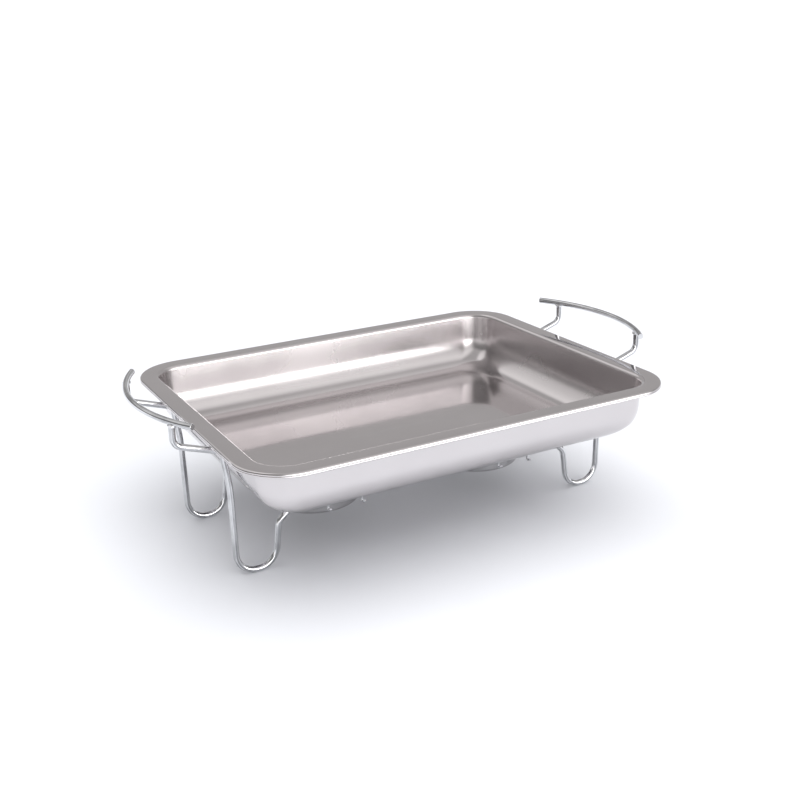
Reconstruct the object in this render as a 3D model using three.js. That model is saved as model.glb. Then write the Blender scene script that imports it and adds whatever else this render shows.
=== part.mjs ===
// Buffet chafing dish: a pressed steel food tray carried by a chromed wire stand, with two fuel
// burners hung on the stand's rails. Millimetres, +Z up, origin on the floor under the tray's middle,
// X along the tray. Every piece is its own mesh. Pieces that touch keep a small gap, CONTACT_GAP.

import * as THREE from 'three';

const { asin, atan2, cos, PI, sin, sqrt, tan } = Math;

// ---- Driving dimensions -------------------------------------------------------------------------

const CONTACT_GAP = 0.3;

// Food tray. Its outline is a rounded rectangle, and its section runs inwards from the rim's edge.
const RIM_TOP = 139;
const RIM_HALF_LENGTH = 225;
const RIM_HALF_WIDTH = 175.5;
const RIM_CORNER_RADIUS = 50;
const RIM_WIDTH = 16;
const RIM_EDGE_RADIUS = 2.2;
const LIP_HEIGHT = 4.8;
const RIM_TO_WALL_RADIUS = 4;
const TRAY_DEPTH = 58.5;
const TRAY_SHEET = 1;
const WALL_DRAFT_DEGREES = 4;
const FLOOR_EDGE_RADIUS = 33;
const BODY_CORNER_RADIUS = 24;

// Wire stand: two bent side wires, front and rear, joined by a handle bow at each end.
const WIRE_RADIUS = 3;
const SIDE_WIRE_Y = 68;
const POST_OUT_OF_BOW = 1;
const BRACKET_SLOPE = 0.33;
const LEG_TOP_X = 212.5;
const LEG_BEND_X = 207.8;
const LEG_BEND_Z = 92;
const FOOT_OUTER_X = 206.5;
const FOOT_INNER_X = 168.5;
const KNEE_X = 163;
const KNEE_Z = 45.8;
const RAIL_END_X = 137;
const RAIL_Z = 67;

const BOW_Z = 162.8;
const BOW_ARC_RADIUS = 170;
const BOW_OUTER_X = 268.8;
const BOW_HALF_CHORD = 89;

// Burners. Each is a cup hanging by its flange in a wire ring, which is hooked over both rails.
const BURNER_X = 96;
const RING_Z = 62;
const RING_WIRE_RADIUS = 1.5;
const HOOK_WIRE_RADIUS = 1.25;
const HOOK_SPREAD = 18;
const HOOK_BOTTOM_Z = 46;
const HOOK_TIP_OUT = 6;
const HOOK_TIP_RISE = 4;
const CUP_RADIUS = 46;
const CUP_BOTTOM_Z = 30;
const CUP_SHEET = 1;
const CUP_EDGE_RADIUS = 2.5;
const CUP_FLANGE_RADIUS = 50;
const WICK_TOP_Z = 56;
const LID_RADIUS = 49;
const LID_SHEET = 0.8;
const FLAME_HOLE_RADIUS = 22;
const AIR_HOLE_RADIUS = 2.5;
const AIR_HOLE_CIRCLE = 32;
const AIR_HOLE_COUNT = 10;
const DAMPER_RADIUS = 25;
const DAMPER_ARM_HALF_WIDTH = 6;
const DAMPER_PIVOT_DISTANCE = 36;
const DAMPER_ARM_END = 52;
const RIVET_SHANK_RADIUS = 1.7;
const RIVET_HOLE_RADIUS = 2.1;
const RIVET_HEAD_RADIUS = 3.6;
const RIVET_HEAD_HEIGHT = 1.2;

// Fineness of the faceted surfaces.
const WIRE_TURN_STEP = PI / 12;
const BOW_TURN_STEP = PI / 40;
const WIRE_SIDES = 12;
const THIN_WIRE_SIDES = 8;
const TRAY_CORNER_STEPS = 10;
const FLOOR_EDGE_STEPS = 8;
const ROUND_STEPS = 32;
const RING_STEPS = 36;
const HOLE_STEPS = 10;

// ---- Materials ----------------------------------------------------------------------------------

const metal = (color, roughness) => () => new THREE.MeshStandardMaterial({ color, roughness, metalness: 1 });
const chromedWire = metal(0xe4e5e8, 0.08);
const satinSteel = metal(0xb9b6b6, 0.28);
const burnerSteel = metal(0xc6c5c8, 0.22);
const wickFibre = () => new THREE.MeshStandardMaterial({ color: 0xe9e4d8, roughness: 0.95, metalness: 0 });

// ---- Shape helpers ------------------------------------------------------------------------------

/** Centreline of bent wire: straight runs joined by round bends, with stations only where it turns. */
class BentWire extends THREE.Curve {
  constructor(corners, bendRadii, turnStep = WIRE_TURN_STEP) {
    super();
    const last = corners.length - 1;
    this.stations = [station(corners[0], corners[0], corners[1])];
    for (let i = 1; i < last; i += 1) {
      this.stations.push(...bendStations(corners.slice(i - 1, i + 2), bendRadii[i - 1], turnStep));
    }
    this.stations.push(station(corners[last], corners[last - 1], corners[last]));
  }

  getPoint(t, target = new THREE.Vector3()) {
    return target.copy(this.nearestStation(t).point);
  }

  getTangent(t, target = new THREE.Vector3()) {
    return target.copy(this.nearestStation(t).tangent);
  }

  getUtoTmapping(u) {
    return u;
  }

  nearestStation(t) {
    return this.stations[Math.round(t * (this.stations.length - 1))];
  }
}

function station(point, from, to) {
  return { point, tangent: to.clone().sub(from).normalize() };
}

/** Stations round one bend: the arc of the given radius that touches both runs at a corner. */
function bendStations([before, corner, after], radius, turnStep) {
  const inward = corner.clone().sub(before).normalize();
  const outward = after.clone().sub(corner).normalize();
  const turn = inward.angleTo(outward);
  const setback = radius * tan(turn / 2);
  const start = corner.clone().addScaledVector(inward, -setback);
  const axis = inward.clone().cross(outward).normalize();
  const toCentre = axis.clone().cross(inward);
  const centre = start.clone().addScaledVector(toCentre, radius);
  const steps = Math.ceil(turn / turnStep);
  return Array.from({ length: steps + 1 }, (_, i) => {
    const angle = (turn * i) / steps;
    const spoke = toCentre.clone().multiplyScalar(-radius).applyAxisAngle(axis, angle);
    return { point: centre.clone().add(spoke), tangent: inward.clone().applyAxisAngle(axis, angle) };
  });
}

function wireGeometry(path, radius, sides) {
  return new THREE.ExtrudeGeometry(new THREE.Shape(circlePoints(0, 0, radius, sides)), {
    steps: path.stations.length - 1,
    extrudePath: path,
    bevelEnabled: false,
  });
}

function addMesh(name, geometry, material, place = [0, 0, 0]) {
  const mesh = new THREE.Mesh(geometry, material());
  mesh.name = name;
  mesh.position.set(...place);
  dish.add(mesh);
}

function circlePoints(x, y, radius, steps) {
  return arcPoints(x, y, radius, 0, 360, steps).slice(0, steps);
}

/** Points of an arc in a section plane, from one angle to another, both in degrees. */
function arcPoints(centreX, centreY, radius, fromDegrees, toDegrees, steps) {
  return Array.from({ length: steps + 1 }, (_, i) => {
    const angle = THREE.MathUtils.degToRad(fromDegrees + ((toDegrees - fromDegrees) * i) / steps);
    return new THREE.Vector2(centreX + radius * cos(angle), centreY + radius * sin(angle));
  });
}

const SIDES = [
  { side: 'left', x: -1 },
  { side: 'right', x: 1 },
];
const ENDS = [
  { end: 'front', y: -1 },
  { end: 'rear', y: 1 },
];

const dish = new THREE.Group();

// ---- Food tray ----------------------------------------------------------------------------------

/**
 * Half section of the tray's sheet, as x = distance inwards from the rim's edge and y = height:
 * over the inside from the floor up to the rim, round the turned-down lip, and back underneath.
 */
function traySection() {
  const draft = THREE.MathUtils.degToRad(WALL_DRAFT_DEGREES);
  const floorTop = RIM_TOP - TRAY_DEPTH + TRAY_SHEET;
  const bendZ = RIM_TOP - RIM_TO_WALL_RADIUS;
  const filletZ = floorTop + FLOOR_EDGE_RADIUS;
  const wallDrop = bendZ - filletZ + (RIM_TO_WALL_RADIUS + FLOOR_EDGE_RADIUS) * sin(draft);
  const filletX = RIM_WIDTH + (RIM_TO_WALL_RADIUS + FLOOR_EDGE_RADIUS) * cos(draft) + wallDrop * tan(draft);
  const underBend = RIM_TO_WALL_RADIUS - TRAY_SHEET;
  const underFillet = FLOOR_EDGE_RADIUS + TRAY_SHEET;
  const wallAngle = -180 + WALL_DRAFT_DEGREES;
  const edgeZ = RIM_TOP - RIM_EDGE_RADIUS;
  return [
    ...arcPoints(filletX, filletZ, FLOOR_EDGE_RADIUS, -90, wallAngle, FLOOR_EDGE_STEPS),
    ...arcPoints(RIM_WIDTH, bendZ, RIM_TO_WALL_RADIUS, WALL_DRAFT_DEGREES, 90, 3),
    ...arcPoints(RIM_EDGE_RADIUS, edgeZ, RIM_EDGE_RADIUS, 90, 180, 3),
    new THREE.Vector2(0, RIM_TOP - LIP_HEIGHT),
    new THREE.Vector2(TRAY_SHEET, RIM_TOP - LIP_HEIGHT),
    ...arcPoints(RIM_EDGE_RADIUS, edgeZ, RIM_EDGE_RADIUS - TRAY_SHEET, 180, 90, 2),
    ...arcPoints(RIM_WIDTH, bendZ, underBend, 90, WALL_DRAFT_DEGREES, 3),
    ...arcPoints(filletX, filletZ, underFillet, wallAngle, -90, FLOOR_EDGE_STEPS),
  ];
}

/** Rounded-rectangle ring of points at one inset and height of the tray's section. */
function trayRing(inset, z) {
  const halfLength = RIM_HALF_LENGTH - inset;
  const halfWidth = RIM_HALF_WIDTH - inset;
  const radius = Math.max(RIM_CORNER_RADIUS - inset, BODY_CORNER_RADIUS);
  const ring = [];
  for (const [signX, signY, fromDegrees] of [[1, 1, 0], [-1, 1, 90], [-1, -1, 180], [1, -1, 270]]) {
    const centreX = signX * (halfLength - radius);
    const centreY = signY * (halfWidth - radius);
    const corner = arcPoints(centreX, centreY, radius, fromDegrees, fromDegrees + 90, TRAY_CORNER_STEPS);
    ring.push(...corner.map((point) => [point.x, point.y, z]));
  }
  return ring;
}

/** Closed surface through a stack of rings, with a fan over the first and the last. */
function loftRings(rings) {
  const count = rings[0].length;
  const positions = rings.flat(2);
  const indices = [];
  for (let level = 0; level + 1 < rings.length; level += 1) {
    for (let i = 0; i < count; i += 1) {
      const next = (i + 1) % count;
      const [a, b] = [level * count + i, level * count + next];
      const [c, d] = [a + count, b + count];
      indices.push(a, c, b, b, c, d);
    }
  }
  const lastLevel = (rings.length - 1) * count;
  const topCentre = positions.length / 3;
  positions.push(0, 0, rings[0][0][2], 0, 0, rings[rings.length - 1][0][2]);
  for (let i = 0; i < count; i += 1) {
    const next = (i + 1) % count;
    indices.push(topCentre, i, next);
    indices.push(topCentre + 1, lastLevel + next, lastLevel + i);
  }
  const geometry = new THREE.BufferGeometry();
  geometry.setAttribute('position', new THREE.Float32BufferAttribute(positions, 3));
  geometry.setIndex(indices);
  return geometry;
}

function addFoodTray() {
  addMesh('food_tray', loftRings(traySection().map((point) => trayRing(point.x, point.y))), satinSteel);
}

// ---- Wire stand ---------------------------------------------------------------------------------

/** The handle bow's outward reach at a distance y from the tray's middle. */
const bowXAt = (y) => BOW_OUTER_X - BOW_ARC_RADIUS + sqrt(BOW_ARC_RADIUS ** 2 - y ** 2);

/** Height of the sloping bracket, which just clears the tray's lip where it passes under it. */
function bracketZAt(x) {
  const underLip = RIM_TOP - LIP_HEIGHT - CONTACT_GAP - WIRE_RADIUS / cos(atan2(BRACKET_SLOPE, 1));
  return underLip + (x - RIM_HALF_LENGTH) * BRACKET_SLOPE;
}

const POST_X = bowXAt(SIDE_WIRE_Y) + POST_OUT_OF_BOW;
const POST_TOP_Z = BOW_Z - WIRE_RADIUS - CONTACT_GAP;

/** Bends at one end of a side wire: from the post by the bracket, leg and foot to the rail. */
const SIDE_WIRE_BENDS = [
  { x: POST_X, z: bracketZAt(POST_X), radius: 10 },
  { x: LEG_TOP_X, z: bracketZAt(LEG_TOP_X), radius: 8 },
  { x: LEG_BEND_X, z: LEG_BEND_Z, radius: 150 },
  { x: FOOT_OUTER_X, z: WIRE_RADIUS, radius: 19.5 },
  { x: FOOT_INNER_X, z: WIRE_RADIUS, radius: 19.5 },
  { x: KNEE_X, z: KNEE_Z, radius: 14 },
  { x: RAIL_END_X, z: RAIL_Z, radius: 14 },
];

function addSideWire(end, y) {
  const corner = (sideX, x, z) => new THREE.Vector3(sideX * x, y * SIDE_WIRE_Y, z);
  const leftBends = SIDE_WIRE_BENDS.map((bend) => corner(-1, bend.x, bend.z));
  const rightBends = SIDE_WIRE_BENDS.map((bend) => corner(1, bend.x, bend.z)).reverse();
  const corners = [corner(-1, POST_X, POST_TOP_Z), ...leftBends, ...rightBends, corner(1, POST_X, POST_TOP_Z)];
  const radii = SIDE_WIRE_BENDS.map((bend) => bend.radius);
  const path = new BentWire(corners, [...radii, ...radii.toReversed()]);
  addMesh(`${end}_side_wire`, wireGeometry(path, WIRE_RADIUS, WIRE_SIDES), chromedWire);
}

/** Wire bent to a shallow arc in plan, lying on the two post tops of one side. */
function addHandleBow(side, x) {
  const endX = bowXAt(BOW_HALF_CHORD);
  const halfAngle = asin(BOW_HALF_CHORD / BOW_ARC_RADIUS);
  const tangentMeetX = BOW_OUTER_X - BOW_ARC_RADIUS + BOW_ARC_RADIUS / cos(halfAngle);
  const corners = [
    new THREE.Vector3(x * endX, -BOW_HALF_CHORD, BOW_Z),
    new THREE.Vector3(x * tangentMeetX, 0, BOW_Z),
    new THREE.Vector3(x * endX, BOW_HALF_CHORD, BOW_Z),
  ];
  const path = new BentWire(corners, [BOW_ARC_RADIUS], BOW_TURN_STEP);
  addMesh(`${side}_handle_bow`, wireGeometry(path, WIRE_RADIUS, WIRE_SIDES), chromedWire);
}

// ---- Burner holders -----------------------------------------------------------------------------

const RING_RADIUS = CUP_RADIUS + CONTACT_GAP + RING_WIRE_RADIUS;
const HOOK_TOP_Z = RAIL_Z + WIRE_RADIUS + CONTACT_GAP + HOOK_WIRE_RADIUS;
const HOOK_DROP_Y = SIDE_WIRE_Y + WIRE_RADIUS + CONTACT_GAP + HOOK_WIRE_RADIUS;

function addHolderRing(side, x) {
  const ring = new THREE.TorusGeometry(RING_RADIUS, RING_WIRE_RADIUS, THIN_WIRE_SIDES, RING_STEPS);
  addMesh(`${side}_holder_ring`, ring, chromedWire, [x * BURNER_X, 0, RING_Z]);
}

/** Wire hook from the ring's outside, up and over the rail, down in front of it, to a turned-up tip. */
function addHolderHook(name, x, y) {
  const ringOuter = RING_RADIUS + RING_WIRE_RADIUS;
  const innerEdge = HOOK_SPREAD - HOOK_WIRE_RADIUS;
  const startY = sqrt(ringOuter ** 2 - innerEdge ** 2) + CONTACT_GAP;
  const riseY = SIDE_WIRE_Y - WIRE_RADIUS - 3;
  const corners = [
    [startY, RING_Z],
    [riseY - 3, RING_Z],
    [riseY, HOOK_TOP_Z],
    [HOOK_DROP_Y, HOOK_TOP_Z],
    [HOOK_DROP_Y, HOOK_BOTTOM_Z],
    [HOOK_DROP_Y + HOOK_TIP_OUT, HOOK_BOTTOM_Z + HOOK_TIP_RISE],
  ].map(([alongY, z]) => new THREE.Vector3(x, y * alongY, z));
  const overRail = HOOK_DROP_Y - SIDE_WIRE_Y;
  const path = new BentWire(corners, [2, 2, overRail, 2], PI / 6);
  addMesh(name, wireGeometry(path, HOOK_WIRE_RADIUS, THIN_WIRE_SIDES), chromedWire);
}

// ---- Burners ------------------------------------------------------------------------------------

const FLANGE_BOTTOM_Z = RING_Z + RING_WIRE_RADIUS + CONTACT_GAP;
const FLANGE_TOP_Z = FLANGE_BOTTOM_Z + CUP_SHEET;
const LID_Z = FLANGE_TOP_Z + CONTACT_GAP;
const DAMPER_Z = LID_Z + LID_SHEET + CONTACT_GAP;
const RIVET_TOP_Z = DAMPER_Z + LID_SHEET + CONTACT_GAP;
const RIVET_FOOT_Z = LID_Z - CONTACT_GAP;

/** LatheGeometry turns its profile about Y; this turns it upright. */
function latheUpright(profile, steps) {
  return new THREE.LatheGeometry(profile, steps).rotateX(PI / 2);
}

/** Drawn cup: round bottom edge, straight wall and a flat flange turned out at the top. */
function cupGeometry() {
  const inner = CUP_RADIUS - CUP_SHEET;
  const edge = CUP_EDGE_RADIUS;
  const edgeZ = CUP_BOTTOM_Z + edge;
  return latheUpright([
    new THREE.Vector2(0, CUP_BOTTOM_Z),
    ...arcPoints(CUP_RADIUS - edge, edgeZ, edge, -90, 0, 3),
    new THREE.Vector2(CUP_RADIUS, FLANGE_BOTTOM_Z),
    new THREE.Vector2(CUP_FLANGE_RADIUS, FLANGE_BOTTOM_Z),
    new THREE.Vector2(CUP_FLANGE_RADIUS, FLANGE_TOP_Z),
    new THREE.Vector2(inner, FLANGE_TOP_Z),
    ...arcPoints(CUP_RADIUS - edge, edgeZ, edge - CUP_SHEET, 0, -90, 3),
    new THREE.Vector2(0, CUP_BOTTOM_Z + CUP_SHEET),
  ], ROUND_STEPS);
}

/** Pad of fibre that soaks up the fuel, filling the cup to below the lid. */
function wickGeometry() {
  const radius = CUP_RADIUS - CUP_SHEET - CONTACT_GAP;
  const foot = CUP_BOTTOM_Z + CUP_SHEET + CONTACT_GAP;
  return latheUpright([
    new THREE.Vector2(0, foot),
    new THREE.Vector2(radius - CUP_EDGE_RADIUS, foot),
    new THREE.Vector2(radius, foot + CUP_EDGE_RADIUS),
    new THREE.Vector2(radius, WICK_TOP_Z),
    new THREE.Vector2(0, WICK_TOP_Z),
  ], ROUND_STEPS);
}

/** Flat lid with the flame hole, a circle of air holes and the rivet's hole. */
function lidGeometry() {
  const plate = new THREE.Shape(circlePoints(0, 0, LID_RADIUS, ROUND_STEPS));
  plate.holes.push(new THREE.Path(circlePoints(0, 0, FLAME_HOLE_RADIUS, ROUND_STEPS)));
  plate.holes.push(new THREE.Path(circlePoints(0, -DAMPER_PIVOT_DISTANCE, RIVET_HOLE_RADIUS, HOLE_STEPS)));
  for (let i = 0; i < AIR_HOLE_COUNT; i += 1) {
    const angle = -PI / 2 + (2 * PI * (i + 0.5)) / AIR_HOLE_COUNT;
    const [x, y] = [AIR_HOLE_CIRCLE * cos(angle), AIR_HOLE_CIRCLE * sin(angle)];
    plate.holes.push(new THREE.Path(circlePoints(x, y, AIR_HOLE_RADIUS, HOLE_STEPS)));
  }
  return new THREE.ExtrudeGeometry(plate, { depth: LID_SHEET, bevelEnabled: false });
}

/** Damper plate: a disc over the flame hole on an arm that turns about the rivet and ends as a tab. */
function damperGeometry() {
  const halfWidth = DAMPER_ARM_HALF_WIDTH;
  const neck = THREE.MathUtils.radToDeg(asin(halfWidth / DAMPER_RADIUS));
  const outline = [
    ...arcPoints(0, 0, DAMPER_RADIUS, -90 + neck, 270 - neck, 28),
    ...arcPoints(0, -DAMPER_ARM_END, halfWidth, 180, 360, 6),
  ];
  const plate = new THREE.Shape(outline);
  plate.holes.push(new THREE.Path(circlePoints(0, -DAMPER_PIVOT_DISTANCE, RIVET_HOLE_RADIUS, HOLE_STEPS)));
  return new THREE.ExtrudeGeometry(plate, { depth: LID_SHEET, bevelEnabled: false });
}

/** Rivet that holds the damper to the lid, with a head above the damper and one below the lid. */
function rivetGeometry() {
  return latheUpright([
    new THREE.Vector2(0, RIVET_FOOT_Z - RIVET_HEAD_HEIGHT),
    new THREE.Vector2(RIVET_HEAD_RADIUS, RIVET_FOOT_Z - RIVET_HEAD_HEIGHT),
    new THREE.Vector2(RIVET_HEAD_RADIUS, RIVET_FOOT_Z),
    new THREE.Vector2(RIVET_SHANK_RADIUS, RIVET_FOOT_Z),
    new THREE.Vector2(RIVET_SHANK_RADIUS, RIVET_TOP_Z),
    new THREE.Vector2(RIVET_HEAD_RADIUS, RIVET_TOP_Z),
    new THREE.Vector2(RIVET_HEAD_RADIUS * 0.6, RIVET_TOP_Z + RIVET_HEAD_HEIGHT),
    new THREE.Vector2(0, RIVET_TOP_Z + RIVET_HEAD_HEIGHT),
  ], HOLE_STEPS);
}

function addBurner(side, x) {
  const centreX = x * BURNER_X;
  addMesh(`${side}_burner_cup`, cupGeometry(), burnerSteel, [centreX, 0, 0]);
  addMesh(`${side}_burner_wick`, wickGeometry(), wickFibre, [centreX, 0, 0]);
  addMesh(`${side}_burner_lid`, lidGeometry(), burnerSteel, [centreX, 0, LID_Z]);
  addMesh(`${side}_burner_damper`, damperGeometry(), burnerSteel, [centreX, 0, DAMPER_Z]);
  addMesh(`${side}_damper_rivet`, rivetGeometry(), burnerSteel, [centreX, -DAMPER_PIVOT_DISTANCE, 0]);
}

// ---- Assembly -----------------------------------------------------------------------------------

addFoodTray();
for (const { end, y } of ENDS) {
  addSideWire(end, y);
}
for (const { side, x } of SIDES) {
  addHandleBow(side, x);
  addHolderRing(side, x);
  for (const { end, y } of ENDS) {
    addHolderHook(`${side}_holder_${end}_outer_hook`, x * (BURNER_X + HOOK_SPREAD), y);
    addHolderHook(`${side}_holder_${end}_inner_hook`, x * (BURNER_X - HOOK_SPREAD), y);
  }
  addBurner(side, x);
}

export default dish;
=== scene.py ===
"""Looks for the buffet chafing dish: pressed steel tray, chromed wire stand and two fuel burners."""

import math

import bpy
from mathutils import Matrix, Vector, noise


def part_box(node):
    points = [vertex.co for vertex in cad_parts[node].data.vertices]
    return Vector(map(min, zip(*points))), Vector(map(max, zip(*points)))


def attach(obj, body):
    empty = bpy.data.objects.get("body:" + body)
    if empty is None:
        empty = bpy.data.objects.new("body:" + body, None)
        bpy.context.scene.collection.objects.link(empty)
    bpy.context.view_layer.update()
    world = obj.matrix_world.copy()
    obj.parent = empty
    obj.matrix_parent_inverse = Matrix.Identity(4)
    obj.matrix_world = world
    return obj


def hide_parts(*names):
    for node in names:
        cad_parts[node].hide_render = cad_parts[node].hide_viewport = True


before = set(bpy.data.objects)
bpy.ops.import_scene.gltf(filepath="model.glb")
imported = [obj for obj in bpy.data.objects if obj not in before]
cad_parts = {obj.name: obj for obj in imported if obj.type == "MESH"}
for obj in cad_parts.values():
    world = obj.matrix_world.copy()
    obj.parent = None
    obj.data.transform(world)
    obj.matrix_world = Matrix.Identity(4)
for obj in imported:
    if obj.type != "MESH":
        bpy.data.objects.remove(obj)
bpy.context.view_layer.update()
MM = 0.001

# ---- Dimensions, in millimetres -------------------------------------------------------------------

RIM_CORNER_RADIUS = 50
RIM_WIDTH = 16
RIM_EDGE_RADIUS = 2.2
LIP_HEIGHT = 4.8
HEM_RADIUS = 1.3
HEM_SEAM_DEPTH = 0.6
HEM_SEAM_DROP = 0.35
HEM_START_DEGREES = 145
RIM_TO_WALL_RADIUS = 4
TRAY_SHEET = 1
WALL_DRAFT = math.radians(4)
FLOOR_EDGE_RADIUS = 33
BODY_CORNER_RADIUS = 24
FLOOR_CROWN = 0.9
FLOOR_RINGS = 14
FLOOR_RINGS_REACH = 0.985
FILLET_STEPS = 26
BEND_STEPS = 10
RIM_FIRST_EDGE_RING = FILLET_STEPS + BEND_STEPS + 3

CONTACT_GAP = 0.3
WIRE_RADIUS = 3
BRACKET_SLOPE = 0.33
POST_BEND_RADIUS = 10
LEG_TOP_X = 212.5
LEG_TOP_BEND_RADIUS = 8
LEG_BEND_X = 207.8
LEG_BEND_Z = 92
LEG_BEND_RADIUS = 150
FOOT_OUTER_X = 206.5
FOOT_INNER_X = 168.5
FOOT_RADIUS = 19.5
KNEE_X = 163
KNEE_Z = 45.8
RAIL_END_X = 137
RAIL_Z = 67
RAIL_BEND_RADIUS = 14
BOW_ARC_RADIUS = 170
BOW_HALF_CHORD = 89
BOW_STEPS = 40
POST_WELD_HALF_SIZES = (3.9, 4.4, 2.6)

RING_WIRE_RADIUS = 1.5
HOOK_WIRE_RADIUS = 1.25
HOOK_SHOULDER = 3
HOOK_BEND_RADIUS = 2
HOOK_BOTTOM_Z = 46
HOOK_TIP_OUT = 6
HOOK_TIP_RISE = 4
HOOK_WELD_HALF_SIZES = (1.9, 1.5, 1.6)
CUP_SHEET = 1
CUP_EDGE_RADIUS = 2.5
CUP_FLANGE_WIDTH = 4
CUP_RECESS_RADIUS = 30
CUP_RECESS_EDGE_RADIUS = 31.5
CUP_RECESS_RISE = 0.6
CUP_AXIS_RADIUS = 0.4
FLAME_HOLE_RADIUS = 22
AIR_HOLE_RADIUS = 2.5
AIR_HOLE_CIRCLE = 32
AIR_HOLE_COUNT = 10
DAMPER_RADIUS = 25
DAMPER_ARM_HALF_WIDTH = 6
DAMPER_ARM_END = 52
RIVET_HOLE_RADIUS = 2.1
RIVET_SHANK_RADIUS = 1.7
RIVET_HEAD_HEIGHT = 1.2

# ---- Stage, in metres and degrees -----------------------------------------------------------------

STAGE_REACH = 60
STAGE_RISE_START = 40
STAGE_RISE = 2

CAMERA_PLACE = (-0.51505, -0.95513, 0.50307)
CAMERA_AZIMUTH = -28.582
CAMERA_ELEVATION = 19.783
CAMERA_ROLL = -1.390
CAMERA_LENS = 50.706

OVERHEAD_STRENGTH = 2.6
OVERHEAD_WIDTH = 80
OVERHEAD_WAY = (-0.05, 0.12, -1)

# Each lobe of the studio's light is (direction, flattening in height, cosine where it begins, cosine
# where it is full, level).
STUDIO_LEVEL = 0.22
STUDIO_LOBES = (
    ((0.65, 0.72, 0.20), 1.0, 0.35, 0.75, 0.27),
    ((0.25, -0.94, 0.00), 2.6, 0.58, 0.86, 5.4),
    ((-0.85, -0.45, 0.00), 2.6, 0.70, 0.90, 1.0),
    ((0.35, -0.80, 0.50), 1.0, 0.60, 0.85, 0.55),
    ((0.10, -0.10, 1.00), 1.0, 0.60, 0.90, 0.30),
    ((-0.40, 0.60, 0.75), 1.0, 0.84, 0.92, 0.55),
)

SIDES = (("left", -1), ("right", 1))
ENDS = (("front", -1), ("rear", 1))


# ---- Places taken from the frame ------------------------------------------------------------------


def box_mm(node):
    """Lowest and highest corner of a CAD node, in millimetres."""
    low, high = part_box(node)
    return low / MM, high / MM


def centre_mm(node):
    low, high = box_mm(node)
    return (low + high) / 2


# ---- Mesh helpers ---------------------------------------------------------------------------------


def arc(x, y, radius, start, end, steps):
    """Points of an arc in a plane, angles in degrees."""
    angles = [math.radians(start + (end - start) * i / steps) for i in range(steps + 1)]
    return [(x + radius * math.cos(a), y + radius * math.sin(a)) for a in angles]


def add_mesh(name, points, faces, body, material, sharp=35):
    """A smooth shaded piece from points in millimetres, riding on a body."""
    mesh = bpy.data.meshes.new(name)
    mesh.from_pydata([Vector(point) * MM for point in points], [], faces)
    mesh.validate()
    mesh.shade_smooth()
    mesh.set_sharp_from_angle(angle=math.radians(sharp))
    mesh.materials.append(material)
    piece = bpy.data.objects.new(name, mesh)
    bpy.context.scene.collection.objects.link(piece)
    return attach(piece, body)


def loft(rings, closed=False, cap_start=False, cap_end=False):
    """Points and faces of a skin over rings that all have the same number of points."""
    count = len(rings[0])
    points = [point for ring in rings for point in ring]
    faces = []
    pairs = len(rings) if closed else len(rings) - 1
    for level in range(pairs):
        lower, upper = level * count, ((level + 1) % len(rings)) * count
        for i in range(count):
            j = (i + 1) % count
            faces.append((lower + i, lower + j, upper + j, upper + i))
    if cap_start:
        faces.append(tuple(reversed(range(count))))
    if cap_end:
        faces.append(tuple(range(len(points) - count, len(points))))
    return points, faces


def bent_path(corners, radii, turn_step=math.radians(5)):
    """Centreline of bent wire: straight runs joined by round bends."""
    path = [Vector(corners[0])]
    for before, corner, after, radius in zip(corners, corners[1:], corners[2:], radii):
        inward = (Vector(corner) - Vector(before)).normalized()
        outward = (Vector(after) - Vector(corner)).normalized()
        turn = inward.angle(outward)
        axis = inward.cross(outward).normalized()
        to_centre = axis.cross(inward)
        start = Vector(corner) - inward * radius * math.tan(turn / 2)
        centre = start + to_centre * radius
        steps = max(3, math.ceil(turn / turn_step))
        for i in range(steps + 1):
            path.append(centre - Matrix.Rotation(turn * i / steps, 3, axis) @ to_centre * radius)
    path.append(Vector(corners[-1]))
    return path


def tube(path, radius, sides=24, end_chamfer=0.35):
    """Round wire along a path, with its cut ends slightly chamfered."""
    first, last = path[0], path[-1]
    lead = (path[1] - first).normalized() * end_chamfer
    tail = (path[-2] - last).normalized() * end_chamfer
    stations = [first, first + lead, *path[1:-1], last + tail, last]
    across = None
    rings = []
    for i, place in enumerate(stations):
        before = stations[max(i - 1, 0)]
        after = stations[min(i + 1, len(stations) - 1)]
        along = (after - before).normalized()
        if across is None:
            across = along.orthogonal().normalized()
        across = (across - along * across.dot(along)).normalized()
        beside = along.cross(across)
        reach = radius - end_chamfer if i in (0, len(stations) - 1) else radius
        turns = [2 * math.pi * k / sides for k in range(sides)]
        rings.append([place + (across * math.cos(a) + beside * math.sin(a)) * reach for a in turns])
    return loft(rings, cap_start=True, cap_end=True)


def lathe(profile, centre, steps=96):
    """Points and faces of a closed profile of (radius, z) pairs turned about an upright line."""
    turns = [2 * math.pi * i / steps for i in range(steps)]
    rings = [
        [(centre.x + r * math.cos(a), centre.y + r * math.sin(a), z) for r, z in profile] for a in turns
    ]
    return loft(rings, closed=True)


# ---- Materials ------------------------------------------------------------------------------------


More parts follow.
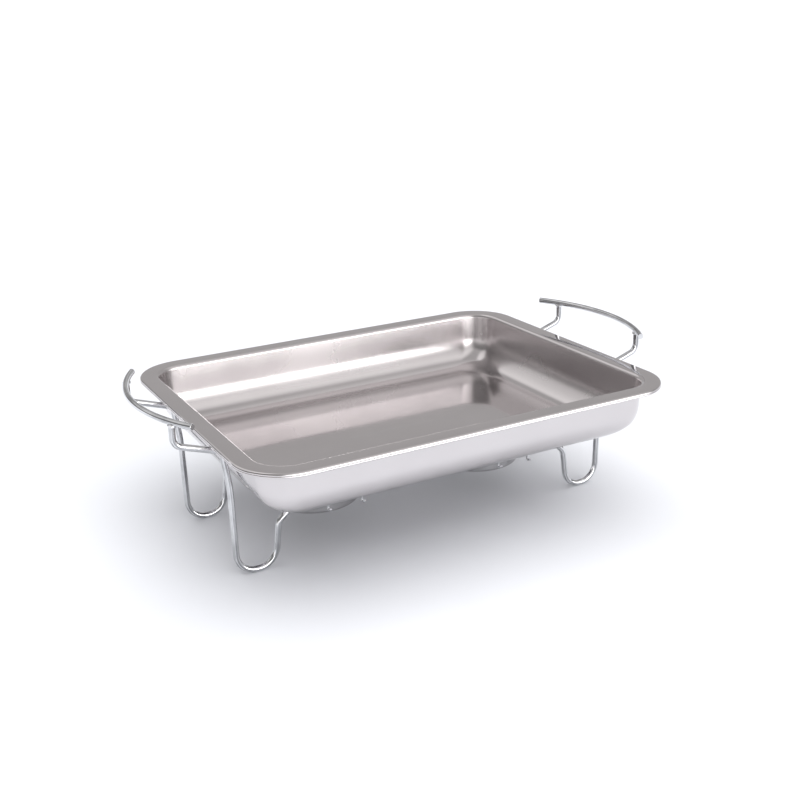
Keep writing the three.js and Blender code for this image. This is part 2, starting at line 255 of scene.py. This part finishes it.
class Material:
    """A node material being built round one Principled shader."""

    def __init__(self, name, **sockets):
        self.material = bpy.data.materials.new(name)
        self.material.use_nodes = True
        self.tree = self.material.node_tree
        self.shader = self.tree.nodes["Principled BSDF"]
        for socket, value in sockets.items():
            self.shader.inputs[socket.replace("_", " ")].default_value = value
        self.place = self.node("ShaderNodeTexCoord").outputs["Object"]

    def node(self, kind, **inputs):
        made = self.tree.nodes.new(kind)
        for key, value in inputs.items():
            socket = made.inputs[key.replace("_", " ")]
            if isinstance(value, bpy.types.NodeSocket):
                self.tree.links.new(value, socket)
            else:
                socket.default_value = value
        return made

    def grain(self, scale, detail=3.0, roughness=0.55):
        """Noise stretched by a scale for each axis, in waves per metre."""
        mapped = self.node("ShaderNodeMapping", Vector=self.place, Scale=scale)
        made = self.node(
            "ShaderNodeTexNoise", Vector=mapped.outputs[0], Scale=1.0, Detail=detail, Roughness=roughness
        )
        return made.outputs[0]

    def ranged(self, value, low, high, to_low, to_high):
        made = self.node("ShaderNodeMapRange", Value=value, From_Min=low, From_Max=high)
        made.inputs["To Min"].default_value = to_low
        made.inputs["To Max"].default_value = to_high
        return made.outputs[0]

    def math(self, operation, first, second):
        made = self.tree.nodes.new("ShaderNodeMath")
        made.operation = operation
        for socket, value in zip(made.inputs, (first, second)):
            if isinstance(value, bpy.types.NodeSocket):
                self.tree.links.new(value, socket)
            else:
                socket.default_value = value
        return made.outputs[0]

    def blend(self, share, first, second):
        """first where share is 0, second where it is 1."""
        one_less = self.math("SUBTRACT", 1.0, share)
        return self.math("ADD", self.math("MULTIPLY", first, one_less), self.math("MULTIPLY", second, share))

    def colour(self, share, first, second, start=0.3, end=0.7):
        ramp = self.node("ShaderNodeValToRGB", Fac=share)
        ramp.color_ramp.elements[0].color = (*first, 1)
        ramp.color_ramp.elements[1].color = (*second, 1)
        ramp.color_ramp.elements[0].position = start
        ramp.color_ramp.elements[1].position = end
        self.tree.links.new(ramp.outputs[0], self.shader.inputs["Base Color"])

    def rough(self, value):
        self.tree.links.new(value, self.shader.inputs["Roughness"])

    def bump(self, *layers):
        """Layers of (height, distance in metres, strength) laid on each other."""
        normal = None
        for height, distance, strength in layers:
            made = self.node("ShaderNodeBump", Height=height, Distance=distance, Strength=strength)
            if normal is not None:
                self.tree.links.new(normal, made.inputs["Normal"])
            normal = made.outputs[0]
        self.tree.links.new(normal, self.shader.inputs["Normal"])


def tray_inside():
    """Satin sheet: grain along the tray where it lies flat, faint drawing lines down its walls."""
    look = Material("tray inside", Metallic=1.0, Anisotropic=0.35, Anisotropic_Rotation=0.25)
    up = look.tree.nodes.new("ShaderNodeSeparateXYZ")
    look.tree.links.new(look.node("ShaderNodeNewGeometry").outputs["Normal"], up.inputs[0])
    tilt = [look.math("ABSOLUTE", up.outputs[axis], 0.0) for axis in "XYZ"]
    flat = look.ranged(tilt[2], 0.60, 0.95, 0.0, 1.0)
    end_wall = look.ranged(look.math("SUBTRACT", tilt[0], tilt[1]), -0.2, 0.2, 0.0, 1.0)
    drawn = look.blend(end_wall, look.grain((55, 0, 1), detail=2), look.grain((0, 55, 1), detail=2))
    rolled = look.grain((9, 1500, 1500), detail=4)
    smudge = look.grain((11, 11, 11), detail=5)
    look.colour(smudge, (0.63, 0.60, 0.605), (0.67, 0.64, 0.645))
    even = look.ranged(smudge, 0.3, 0.7, -0.02, 0.02)
    wall_rough = look.ranged(drawn, 0.3, 0.7, 0.264, 0.270)
    flat_rough = look.ranged(rolled, 0.3, 0.7, 0.06, 0.10)
    look.rough(look.math("ADD", look.blend(flat, wall_rough, flat_rough), even))
    look.bump((look.grain((7, 7, 7), detail=1), 0.001, 0.10), (rolled, 0.000004, 0.04))
    return look.material


def tray_outside():
    """The same sheet left bright on its lip and underside."""
    look = Material("tray outside", Metallic=1.0)
    smudge = look.grain((14, 14, 14), detail=5)
    look.colour(smudge, (0.64, 0.615, 0.62), (0.67, 0.645, 0.65))
    handled = look.ranged(smudge, 0.3, 0.7, 0.09, 0.12)
    rolled = look.ranged(look.grain((9, 1200, 1200)), 0.3, 0.7, 0.0, 0.02)
    look.rough(look.math("ADD", handled, rolled))
    look.bump((look.grain((6, 6, 6), detail=1), 0.0008, 0.08))
    return look.material


def chromed_wire():
    """Bright plated wire. Its base colour carries painted reflections: dark and bright lines that follow the
    way the surface faces, with a little random tone.
    """
    look = Material("chromed wire", Metallic=1.0)
    facing = look.node("ShaderNodeNewGeometry").outputs["Normal"]
    # Noise on the surface's facing, ramped below from dark to bright base colour: painted dark and bright
    # reflection lines on the wire.
    painted_reflection_lines = look.node("ShaderNodeTexNoise", Vector=facing, Scale=2.6, Detail=2.0, Roughness=0.5).outputs[0]
    cloud = look.grain((60, 60, 60), detail=3)
    look.colour(look.blend(0.2, painted_reflection_lines, cloud), (0.27, 0.275, 0.285), (0.74, 0.745, 0.76), 0.38, 0.55)
    look.rough(look.ranged(cloud, 0.3, 0.7, 0.035, 0.085))
    waves = look.grain((45, 45, 45), detail=2)
    pits = look.grain((900, 900, 900))
    look.bump((waves, 0.0008, 0.18), (pits, 0.00002, 0.15))
    return look.material


def weld_metal():
    """Plated weld bead, duller and rougher than the wire."""
    look = Material("plated weld", Metallic=1.0)
    cloud = look.grain((500, 500, 500), detail=4)
    look.colour(cloud, (0.62, 0.62, 0.63), (0.86, 0.86, 0.87))
    look.rough(look.ranged(cloud, 0.3, 0.7, 0.12, 0.30))
    look.bump((cloud, 0.0004, 0.5))
    return look.material


def spun_steel(name, centre):
    """Bright drawn steel with turning lines round an upright axis, for one burner."""
    look = Material(name, Metallic=1.0, Anisotropic=0.3)
    moved = look.node("ShaderNodeMapping", Vector=look.place, Location=(-centre.x * MM, -centre.y * MM, 0))
    flat = look.node("ShaderNodeMapping", Vector=moved.outputs[0], Scale=(1, 1, 0))
    length = look.tree.nodes.new("ShaderNodeVectorMath")
    length.operation = "LENGTH"
    look.tree.links.new(flat.outputs[0], length.inputs[0])
    height = look.tree.nodes.new("ShaderNodeSeparateXYZ")
    look.tree.links.new(look.place, height.inputs[0])
    reach = look.math("ADD", length.outputs["Value"], height.outputs["Z"])
    outward = look.node("ShaderNodeCombineXYZ", X=look.math("MULTIPLY", reach, 2600.0))
    turned = look.node("ShaderNodeTexNoise", Vector=outward.outputs[0], Scale=1.0, Detail=3.0)
    cloud = look.grain((30, 30, 30), detail=4)
    look.colour(cloud, (0.44, 0.435, 0.44), (0.53, 0.525, 0.53))
    lined = look.ranged(turned.outputs[0], 0.3, 0.7, 0.12, 0.24)
    clouded = look.ranged(cloud, 0.3, 0.7, -0.02, 0.03)
    look.rough(look.math("ADD", lined, clouded))
    look.bump((turned.outputs[0], 0.00003, 0.25))
    return look.material


def wick_fibre():
    """Matted mineral fibre."""
    look = Material("wick fibre", Roughness=0.95)
    fibres = look.grain((900, 250, 900), detail=6, roughness=0.7)
    look.colour(fibres, (0.62, 0.58, 0.50), (0.92, 0.90, 0.85))
    look.rough(look.ranged(fibres, 0.3, 0.7, 0.85, 1.0))
    look.bump((fibres, 0.0008, 0.8), (look.grain((60, 60, 60)), 0.002, 0.5))
    return look.material


# ---- Food tray ------------------------------------------------------------------------------------


def rounded_rectangle(half_length, half_width, radius, steps=20):
    outline = []
    for sign_x, sign_y, start in ((1, 1, 0), (-1, 1, 90), (-1, -1, 180), (1, -1, 270)):
        x = sign_x * (half_length - radius)
        y = sign_y * (half_width - radius)
        outline.extend(arc(x, y, radius, start, start + 90, steps))
    return outline


def tray_section(top, depth):
    """The sheet's outline as (inset, z) from the floor over the inside, rim and hem to the underside."""
    floor_top = top - depth + TRAY_SHEET
    bend_z = top - RIM_TO_WALL_RADIUS
    fillet_z = floor_top + FLOOR_EDGE_RADIUS
    both = RIM_TO_WALL_RADIUS + FLOOR_EDGE_RADIUS
    drop = bend_z - fillet_z + both * math.sin(WALL_DRAFT)
    fillet_x = RIM_WIDTH + both * math.cos(WALL_DRAFT) + drop * math.tan(WALL_DRAFT)
    draft = math.degrees(WALL_DRAFT)
    edge_z = top - RIM_EDGE_RADIUS
    hem_z = top - LIP_HEIGHT + HEM_RADIUS
    inner = arc(fillet_x, fillet_z, FLOOR_EDGE_RADIUS, -90, -180 + draft, FILLET_STEPS)
    inner += arc(RIM_WIDTH, bend_z, RIM_TO_WALL_RADIUS, draft, 90, BEND_STEPS)
    inner += arc(RIM_EDGE_RADIUS, edge_z, RIM_EDGE_RADIUS, 90, 180, 8)
    inner += [(HEM_SEAM_DEPTH, edge_z - HEM_SEAM_DROP)]
    inner += arc(HEM_RADIUS, hem_z, HEM_RADIUS, HEM_START_DEGREES, 360, 12)
    under = arc(RIM_EDGE_RADIUS, edge_z, RIM_EDGE_RADIUS - TRAY_SHEET, 180, 90, 4)
    under += arc(RIM_WIDTH, bend_z, RIM_TO_WALL_RADIUS - TRAY_SHEET, 90, draft, 8)
    under += arc(fillet_x, fillet_z, FLOOR_EDGE_RADIUS + TRAY_SHEET, -180 + draft, -90, FILLET_STEPS)
    return inner + under, fillet_x


def add_tray(inside, outside):
    low, high = box_mm("food_tray")
    half_length, half_width = (high.x - low.x) / 2, (high.y - low.y) / 2
    section, floor_inset = tray_section(high.z, high.z - low.z)
    floor_length, floor_width = half_length - floor_inset, half_width - floor_inset

    def ring(inset, z):
        length, width = half_length - inset, half_width - inset
        radius = min(max(RIM_CORNER_RADIUS - inset, BODY_CORNER_RADIUS), width * 0.98)
        return [(x, y, z + crown(x, y, inset)) for x, y in rounded_rectangle(length, width, radius)]

    def crown(x, y, inset):
        """The floor's slight rise towards its middle."""
        if inset < floor_inset:
            return 0
        return FLOOR_CROWN * (1 - (x / floor_length) ** 2) * (1 - (y / floor_width) ** 2)

    shares = [i / FLOOR_RINGS for i in range(FLOOR_RINGS, 0, -1)]
    insets = [floor_inset + floor_width * share * FLOOR_RINGS_REACH for share in shares]
    inner_floor = [ring(inset, section[0][1]) for inset in insets]
    outer_floor = [ring(inset, section[-1][1]) for inset in reversed(insets)]
    rings = inner_floor + [ring(inset, z) for inset, z in section] + outer_floor
    points, faces = loft(rings, cap_start=True, cap_end=True)
    tray = add_mesh("tray_pressing", points, faces, "tray", inside)
    tray.data.materials.append(outside)
    first_outer_face = (len(inner_floor) + RIM_FIRST_EDGE_RING) * len(rings[0])
    for face in tray.data.polygons:
        face.material_index = int(face.index >= first_outer_face)
    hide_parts("food_tray")


# ---- Wire stand -----------------------------------------------------------------------------------


def side_wire_corners(node):
    """Corner points (x, z, bend radius) of one end of a side wire, from the post's top to the rail."""
    low, high = box_mm(node)
    tray_high = box_mm("food_tray")[1]
    slant = WIRE_RADIUS / math.cos(math.atan(BRACKET_SLOPE))
    under_lip = tray_high.z - LIP_HEIGHT - CONTACT_GAP - slant
    post_x = high.x - WIRE_RADIUS

    def bracket(x):
        return under_lip + (x - tray_high.x) * BRACKET_SLOPE

    foot_z = low.z + WIRE_RADIUS
    return [
        (post_x, high.z, 0),
        (post_x, bracket(post_x), POST_BEND_RADIUS),
        (LEG_TOP_X, bracket(LEG_TOP_X), LEG_TOP_BEND_RADIUS),
        (LEG_BEND_X, LEG_BEND_Z, LEG_BEND_RADIUS),
        (FOOT_OUTER_X, foot_z, FOOT_RADIUS),
        (FOOT_INNER_X, foot_z, FOOT_RADIUS),
        (KNEE_X, KNEE_Z, RAIL_BEND_RADIUS),
        (RAIL_END_X, RAIL_Z, RAIL_BEND_RADIUS),
    ]


def add_side_wire(end, material):
    node = f"{end}_side_wire"
    y = centre_mm(node).y
    right = [(Vector((x, y, z)), radius) for x, z, radius in side_wire_corners(node)]
    left = [(Vector((-place.x, y, place.z)), radius) for place, radius in right]
    stops = left + right[::-1]
    path = bent_path([place for place, _ in stops], [radius for _, radius in stops[1:-1]])
    wire = add_mesh(f"{end}_formed_wire", *tube(path, WIRE_RADIUS), "stand", material)
    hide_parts(node)


def add_bow(side, x, material):
    node = f"{side}_handle_bow"
    low, high = box_mm(node)
    outer = max(abs(low.x), abs(high.x)) - WIRE_RADIUS
    z = (low.z + high.z) / 2
    half_angle = math.asin(BOW_HALF_CHORD / BOW_ARC_RADIUS)
    path = []
    for i in range(BOW_STEPS + 1):
        angle = half_angle * (2 * i / BOW_STEPS - 1)
        reach = outer - BOW_ARC_RADIUS * (1 - math.cos(angle))
        path.append(Vector((x * reach, BOW_ARC_RADIUS * math.sin(angle), z)))
    bow = add_mesh(f"{side}_formed_bow", *tube(path, WIRE_RADIUS), "stand", material)
    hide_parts(node)


def bead(centre, size, seed, segments=20, rings=12):
    """Points and faces of a lumpy weld bead of the given half sizes."""
    layers = []
    for i in range(rings + 1):
        tilt = math.pi * (0.02 + 0.96 * i / rings)
        layer = []
        for k in range(segments):
            turn = 2 * math.pi * k / segments
            way = Vector((math.sin(tilt) * math.cos(turn), math.sin(tilt) * math.sin(turn), math.cos(tilt)))
            swell = 1 + 0.16 * noise.noise(way * 2.2 + Vector((seed * 3.7, 0, 0)))
            layer.append(centre + Vector(w * s for w, s in zip(way, size)) * swell)
        layers.append(layer)
    return loft(layers, cap_start=True, cap_end=True)


def add_post_welds(material):
    """A bead at each post's top, where the bow lies on it."""
    for end, _ in ENDS:
        low, high = box_mm(f"{end}_side_wire")
        for index, (side, x) in enumerate(SIDES):
            post_x = x * (high.x - WIRE_RADIUS - 0.5)
            centre = Vector((post_x, (low.y + high.y) / 2, high.z + 0.1))
            seed = index + (5 if end == "rear" else 1)
            points, faces = bead(centre, POST_WELD_HALF_SIZES, seed)
            weld = add_mesh(f"{side}_{end}_post_weld", points, faces, "stand", material)


# ---- Burner holders -------------------------------------------------------------------------------


def add_ring(side, material):
    node = f"{side}_holder_ring"
    low, high = box_mm(node)
    centre = (low + high) / 2
    radius = (high.x - low.x) / 2 - RING_WIRE_RADIUS
    profile = arc(radius, centre.z, RING_WIRE_RADIUS, 0, 360, 16)[:16]
    ring = add_mesh(f"{side}_formed_ring", *lathe(profile, centre), f"{side}_holder", material)
    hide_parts(node)


def add_hook(side, end, y, which, material, weld_material):
    """Hook over the rail with its turned-up tip, and the bead that holds it to the ring."""
    node = f"{side}_holder_{end}_{which}_hook"
    low, high = box_mm(node)
    x = (low.x + high.x) / 2
    ring_z = centre_mm(f"{side}_holder_ring").z
    rail_y = abs(centre_mm(f"{end}_side_wire").y)
    near = min(abs(low.y), abs(high.y))
    top_z = high.z - HOOK_WIRE_RADIUS
    drop_y = rail_y + WIRE_RADIUS + CONTACT_GAP + HOOK_WIRE_RADIUS
    rise_y = rail_y - WIRE_RADIUS - HOOK_SHOULDER
    corners = [
        (near, ring_z),
        (rise_y - HOOK_SHOULDER, ring_z),
        (rise_y, top_z),
        (drop_y, top_z),
        (drop_y, HOOK_BOTTOM_Z),
        (drop_y + HOOK_TIP_OUT, HOOK_BOTTOM_Z + HOOK_TIP_RISE),
    ]
    radii = [HOOK_BEND_RADIUS, HOOK_BEND_RADIUS, drop_y - rail_y, HOOK_BEND_RADIUS]
    path = bent_path([Vector((x, y * along, z)) for along, z in corners], radii, math.radians(9))
    name = f"{side}_{end}_{which}"
    wire = tube(path, HOOK_WIRE_RADIUS, sides=14, end_chamfer=0.2)
    hook = add_mesh(f"{name}_formed_hook", *wire, f"{side}_holder", material)
    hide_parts(node)
    foot = Vector((x, y * (near - 0.2), ring_z))
    lump = bead(foot, HOOK_WELD_HALF_SIZES, seed=near + x, segments=14, rings=8)
    weld = add_mesh(f"{name}_hook_weld", *lump, f"{side}_holder", weld_material)


# ---- Burners --------------------------------------------------------------------------------------


def add_cup(side, material):
    """Drawn cup with a rounded bottom edge and a flange with a rounded rim."""
    node = f"{side}_burner_cup"
    low, high = box_mm(node)
    centre = (low + high) / 2
    flange = (high.x - low.x) / 2
    radius = flange - CUP_FLANGE_WIDTH
    edge_z = low.z + CUP_EDGE_RADIUS
    half = CUP_SHEET / 2
    recess_z = low.z + CUP_RECESS_RISE
    recess_top_z = low.z + 1.5
    profile = [(CUP_AXIS_RADIUS, recess_z), (CUP_RECESS_RADIUS, recess_z), (CUP_RECESS_EDGE_RADIUS, low.z)]
    profile += arc(radius - CUP_EDGE_RADIUS, edge_z, CUP_EDGE_RADIUS, -90, 0, 8)
    profile += arc(radius + 1, high.z - CUP_SHEET - 1, 1, 180, 90, 4)
    profile += arc(flange - half, high.z - half, half, -90, 90, 6)
    profile += arc(radius + 0.8, high.z - 1.8, 1.8, 90, 180, 5)
    profile += arc(radius - CUP_EDGE_RADIUS, edge_z, CUP_EDGE_RADIUS - CUP_SHEET, 0, -90, 5)
    profile += [(CUP_RECESS_EDGE_RADIUS, low.z + 1), (CUP_RECESS_RADIUS, recess_top_z)]
    profile += [(CUP_AXIS_RADIUS, recess_top_z)]
    cup = add_mesh(f"{side}_drawn_cup", *lathe(profile, centre), f"{side}_burner", material)
    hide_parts(node)


def add_wick(side, material):
    """Fibre pad with a soft edge and an uneven top."""
    node = f"{side}_burner_wick"
    low, high = box_mm(node)
    centre = (low + high) / 2
    radius = (high.x - low.x) / 2
    profile = [(0.3, low.z), (radius - 3, low.z), (radius - 0.8, low.z + 3), (radius, low.z + 8)]
    profile += arc(radius - 3, high.z - 3.4, 3, 0, 90, 6)
    profile += [(radius * share, high.z - 0.4) for share in (0.8, 0.65, 0.5, 0.35, 0.2, 0.1, 0.01)]
    points, faces = lathe(profile, centre)
    rough = []
    for point in points:
        place = Vector(point)
        lump = 0.35 * noise.noise(place * 0.35) if place.z > high.z - 3 else 0
        rough.append(place + Vector((0, 0, lump)))
    pad = add_mesh(f"{side}_fibre_pad", rough, faces, f"{side}_burner", material, sharp=70)
    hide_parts(node)


def plate(name, outlines, centre, low_z, high_z, body, material):
    """Flat sheet with holes: the first outline is its edge and the others are holes, with eased edges."""
    ease = 0.15
    curve = bpy.data.curves.new(name, "CURVE")
    curve.dimensions = "2D"
    curve.fill_mode = "BOTH"
    curve.extrude = (high_z - low_z) / 2 * MM - ease * MM
    curve.bevel_depth = ease * MM
    curve.bevel_resolution = 2
    curve.offset = -ease * MM
    for outline in outlines:
        spline = curve.splines.new("POLY")
        spline.points.add(len(outline) - 1)
        for point, (x, y) in zip(spline.points, outline):
            point.co = (x * MM, y * MM, 0, 1)
        spline.use_cyclic_u = True
    shape = bpy.data.objects.new(f"{name}_curve", curve)
    bpy.context.scene.collection.objects.link(shape)
    graph = bpy.context.evaluated_depsgraph_get()
    mesh = bpy.data.meshes.new_from_object(shape.evaluated_get(graph))
    bpy.data.objects.remove(shape)
    mesh.transform(Matrix.Translation(Vector((centre.x, centre.y, (low_z + high_z) / 2)) * MM))
    mesh.shade_smooth()
    mesh.set_sharp_from_angle(angle=math.radians(35))
    mesh.materials.clear()
    mesh.materials.append(material)
    piece = bpy.data.objects.new(name, mesh)
    bpy.context.scene.collection.objects.link(piece)
    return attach(piece, body)


def circle(x, y, radius, steps):
    return arc(x, y, radius, 0, 360, steps)[:steps]


def add_lid(side, pivot_y, material):
    node = f"{side}_burner_lid"
    low, high = box_mm(node)
    centre = (low + high) / 2
    outlines = [circle(0, 0, (high.x - low.x) / 2, 96), circle(0, 0, FLAME_HOLE_RADIUS, 72)]
    outlines.append(circle(0, pivot_y, RIVET_HOLE_RADIUS, 24))
    for i in range(AIR_HOLE_COUNT):
        angle = -math.pi / 2 + 2 * math.pi * (i + 0.5) / AIR_HOLE_COUNT
        x = AIR_HOLE_CIRCLE * math.cos(angle)
        y = AIR_HOLE_CIRCLE * math.sin(angle)
        outlines.append(circle(x, y, AIR_HOLE_RADIUS, 24))
    lid = plate(f"{side}_pierced_lid", outlines, centre, low.z, high.z, f"{side}_burner", material)
    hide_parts(node)


def add_damper(side, pivot_y, material):
    node = f"{side}_burner_damper"
    low, high = box_mm(node)
    centre = centre_mm(f"{side}_burner_cup")
    neck = math.degrees(math.asin(DAMPER_ARM_HALF_WIDTH / DAMPER_RADIUS))
    edge = arc(0, 0, DAMPER_RADIUS, -90 + neck, 270 - neck, 80)
    edge += arc(0, -DAMPER_ARM_END, DAMPER_ARM_HALF_WIDTH, 180, 360, 16)
    outlines = [edge, circle(0, pivot_y, RIVET_HOLE_RADIUS, 24)]
    damper = plate(f"{side}_pierced_damper", outlines, centre, low.z, high.z, f"{side}_damper", material)
    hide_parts(node)


def add_rivet(side, material):
    """Rivet with domed heads above the damper and below the lid."""
    node = f"{side}_damper_rivet"
    low, high = box_mm(node)
    centre = (low + high) / 2
    head = (high.x - low.x) / 2 - 0.05
    height = RIVET_HEAD_HEIGHT
    dome = [(head, 0), (head * 0.92, 0.45), (head * 0.7, 0.85), (head * 0.4, 1.1), (0.05, height)]
    profile = [(r, low.z + height - z) for r, z in reversed(dome)]
    profile += [(RIVET_SHANK_RADIUS, low.z + height), (RIVET_SHANK_RADIUS, high.z - height)]
    profile += [(r, high.z - height + z) for r, z in dome]
    rivet = add_mesh(f"{side}_domed_rivet", *lathe(profile, centre, 32), f"{side}_burner", material, sharp=50)
    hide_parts(node)


def add_burner(side, wick_material):
    centre = centre_mm(f"{side}_burner_cup")
    steel = spun_steel(f"{side} burner steel", centre)
    pivot_y = centre_mm(f"{side}_damper_rivet").y - centre.y
    add_cup(side, steel)
    add_wick(side, wick_material)
    add_lid(side, pivot_y, steel)
    add_damper(side, pivot_y, steel)
    add_rivet(side, steel)


# ---- Stage, light and camera ----------------------------------------------------------------------


def add_floor():
    """A pale floor whose far rear part rises gently, so that it fills the picture to its top."""
    look = Material("floor paint", Roughness=0.85)
    look.colour(look.grain((5, 5, 5)), (0.71, 0.725, 0.76), (0.72, 0.735, 0.77))
    mesh = bpy.data.meshes.new("floor")
    rows = ((-STAGE_REACH, 0), (STAGE_RISE_START, 0), (STAGE_REACH, STAGE_RISE))
    points = [(x, y, z) for y, z in rows for x in (-STAGE_REACH, STAGE_REACH)]
    mesh.from_pydata(points, [], [(0, 1, 3, 2), (2, 3, 5, 4)])
    mesh.materials.append(look.material)
    floor = bpy.data.objects.new("floor", mesh)
    bpy.context.scene.collection.objects.link(floor)


def add_world():
    """A dim studio with a broad grey wall behind the object and a bright window in front of it."""
    world = bpy.data.worlds.new("studio")
    world.use_nodes = True
    tree = world.node_tree
    way = tree.nodes.new("ShaderNodeTexCoord").outputs["Generated"]
    total = None
    for direction, squash, outer, inner, level in STUDIO_LOBES:
        scaled = tree.nodes.new("ShaderNodeVectorMath")
        scaled.operation = "MULTIPLY"
        scaled.inputs[1].default_value = (1, 1, squash)
        tree.links.new(way, scaled.inputs[0])
        unit = tree.nodes.new("ShaderNodeVectorMath")
        unit.operation = "NORMALIZE"
        tree.links.new(scaled.outputs[0], unit.inputs[0])
        facing = tree.nodes.new("ShaderNodeVectorMath")
        facing.operation = "DOT_PRODUCT"
        facing.inputs[1].default_value = Vector(direction).normalized()
        tree.links.new(unit.outputs[0], facing.inputs[0])
        lobe = tree.nodes.new("ShaderNodeMapRange")
        lobe.interpolation_type = "SMOOTHSTEP"
        lobe.inputs["From Min"].default_value = outer
        lobe.inputs["From Max"].default_value = inner
        lobe.inputs["To Max"].default_value = level
        tree.links.new(facing.outputs["Value"], lobe.inputs["Value"])
        joined = tree.nodes.new("ShaderNodeMath")
        tree.links.new(lobe.outputs[0], joined.inputs[0])
        if total is None:
            joined.inputs[1].default_value = STUDIO_LEVEL
        else:
            tree.links.new(total, joined.inputs[1])
        total = joined.outputs[0]
    background = tree.nodes["Background"]
    background.inputs[0].default_value = (1.0, 0.985, 0.98, 1)
    tree.links.new(total, background.inputs[1])
    bpy.context.scene.world = world


def add_overhead_light(strength, width, way):
    """A very wide light far above that lights the whole floor evenly and isn't mirrored in the metal."""
    light = bpy.data.lights.new("overhead light", "SUN")
    light.energy = strength
    light.angle = math.radians(width)
    lamp = bpy.data.objects.new("overhead light", light)
    lamp.visible_glossy = False
    lamp.rotation_euler = Vector(way).to_track_quat("-Z", "Y").to_euler()
    bpy.context.scene.collection.objects.link(lamp)


def add_camera():
    azimuth = math.radians(CAMERA_AZIMUTH)
    elevation = math.radians(CAMERA_ELEVATION)
    roll = math.radians(CAMERA_ROLL)
    back = Vector(
        (
            math.sin(azimuth) * math.cos(elevation),
            -math.cos(azimuth) * math.cos(elevation),
            math.sin(elevation),
        )
    )
    level = (-back).cross(Vector((0, 0, 1))).normalized()
    upright = level.cross(-back)
    right = level * math.cos(roll) + upright * math.sin(roll)
    up = upright * math.cos(roll) - level * math.sin(roll)
    camera = bpy.data.cameras.new("camera")
    camera.sensor_width = 36
    camera.lens = CAMERA_LENS
    camera.clip_start = 0.01
    camera.clip_end = 200
    eye = bpy.data.objects.new("camera", camera)
    turned = Matrix((right, up, back)).transposed().to_4x4()
    eye.matrix_world = Matrix.Translation(CAMERA_PLACE) @ turned
    bpy.context.scene.collection.objects.link(eye)
    bpy.context.scene.camera = eye


# ---- Build ----------------------------------------------------------------------------------------

add_camera()
add_world()
add_floor()
add_overhead_light(OVERHEAD_STRENGTH, OVERHEAD_WIDTH, OVERHEAD_WAY)

chrome = chromed_wire()
weld = weld_metal()
fibre = wick_fibre()
add_tray(tray_inside(), tray_outside())
for end, _ in ENDS:
    add_side_wire(end, chrome)
add_post_welds(weld)
for side, x in SIDES:
    add_bow(side, x, chrome)
    add_ring(side, chrome)
    for end, y in ENDS:
        for which in ("outer", "inner"):
            add_hook(side, end, y, which, chrome, weld)
    add_burner(side, fibre)

bpy.context.scene.view_settings.view_transform = "Standard"
